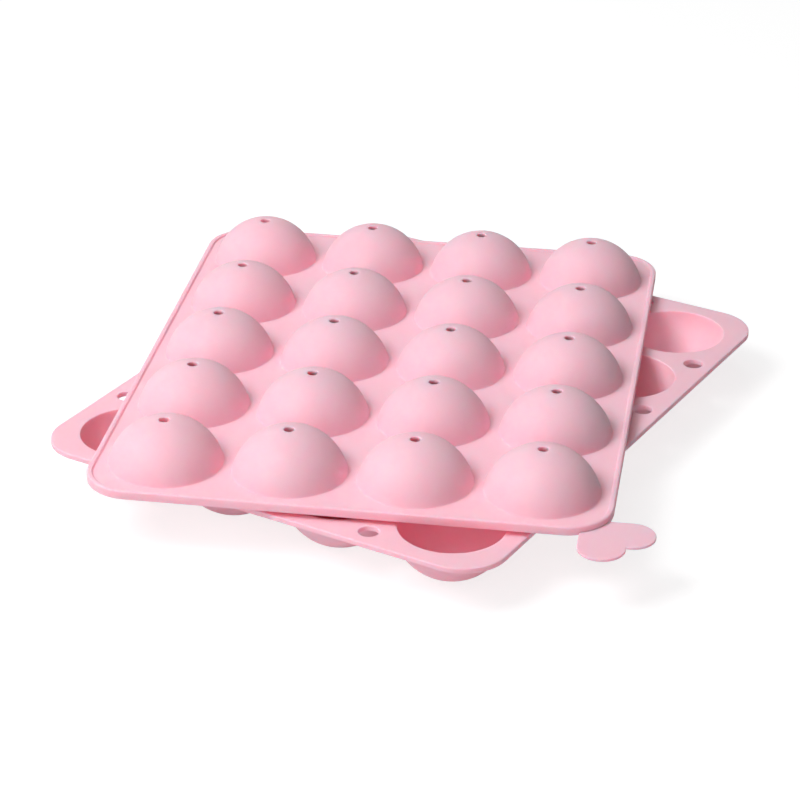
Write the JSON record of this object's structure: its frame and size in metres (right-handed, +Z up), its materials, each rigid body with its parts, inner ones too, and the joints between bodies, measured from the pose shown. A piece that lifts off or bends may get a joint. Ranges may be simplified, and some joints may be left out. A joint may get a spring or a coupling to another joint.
{
  "type": "cake pop mould",
  "caption": "Two-part silicone baking mould for cake pops: a domed top half with stick holes and a pull tab lies on a bottom half of open cups.",
  "frame": {"origin": "on the table, under the middle of the bottom half", "axes": "+X along the top half's four columns, towards the pull tab's side; +Y along its five rows, away from the tab; +Z up"},
  "size_m": [0.2408, 0.2654, 0.0383],
  "materials": {
    "silicone": "satin pink silicone, slightly translucent"
  },
  "bodies": {
    "bottom_half": {"bottom_plate": "silicone", "bottom_cup_c1r1": "silicone", "bottom_cup_c1r2": "silicone", "bottom_cup_c1r3": "silicone", "bottom_cup_c1r4": "silicone", "bottom_cup_c1r5": "silicone", "bottom_cup_c2r1": "silicone", "bottom_cup_c2r2": "silicone", "bottom_cup_c2r3": "silicone", "bottom_cup_c2r4": "silicone", "bottom_cup_c2r5": "silicone", "bottom_cup_c3r1": "silicone", "bottom_cup_c3r2": "silicone", "bottom_cup_c3r3": "silicone", "bottom_cup_c3r4": "silicone", "bottom_cup_c3r5": "silicone", "bottom_cup_c4r1": "silicone", "bottom_cup_c4r2": "silicone", "bottom_cup_c4r3": "silicone", "bottom_cup_c4r4": "silicone", "bottom_cup_c4r5": "silicone"},
    "top_half": {"top_plate": "silicone", "pull_tab": "silicone", "top_dome_c1r1": "silicone", "top_dome_c1r2": "silicone", "top_dome_c1r3": "silicone", "top_dome_c1r4": "silicone", "top_dome_c1r5": "silicone", "top_dome_c2r1": "silicone", "top_dome_c2r2": "silicone", "top_dome_c2r3": "silicone", "top_dome_c2r4": "silicone", "top_dome_c2r5": "silicone", "top_dome_c3r1": "silicone", "top_dome_c3r2": "silicone", "top_dome_c3r3": "silicone", "top_dome_c3r4": "silicone", "top_dome_c3r5": "silicone", "top_dome_c4r1": "silicone", "top_dome_c4r2": "silicone", "top_dome_c4r3": "silicone", "top_dome_c4r4": "silicone", "top_dome_c4r5": "silicone"}
  },
  "joints": [
    {"name": "top_lift", "type": "slide", "parent": "bottom_half", "child": "top_half", "axis": [0, 0, 1], "range_m": [0, 0.08]}
  ]
}
